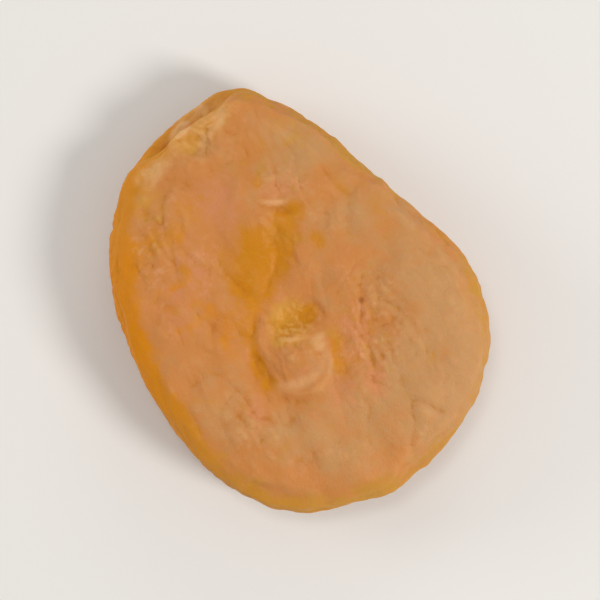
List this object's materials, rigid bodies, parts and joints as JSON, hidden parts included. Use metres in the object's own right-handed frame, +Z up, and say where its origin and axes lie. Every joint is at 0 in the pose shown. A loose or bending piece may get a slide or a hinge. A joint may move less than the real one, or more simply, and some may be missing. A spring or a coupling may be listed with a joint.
{
  "type": "dried apricot",
  "caption": "Whole pitted dried apricot lying flat, with a sunken puckered middle, folded leathery skin, a seam down one side and a torn mouth at the stem end.",
  "frame": {"origin": "centre of the bounding box in plan, on the flat spot that the fruit lies on", "axes": "+Z up, out of the puckered upper face; +Y towards the stem end along the fruit's length; +X towards the side with the seam"},
  "size_m": [0.0336, 0.041, 0.0105],
  "materials": {
    "apricot_skin": null
  },
  "bodies": {
    "root": {"dried_apricot": "apricot_skin"}
  },
  "joints": []
}
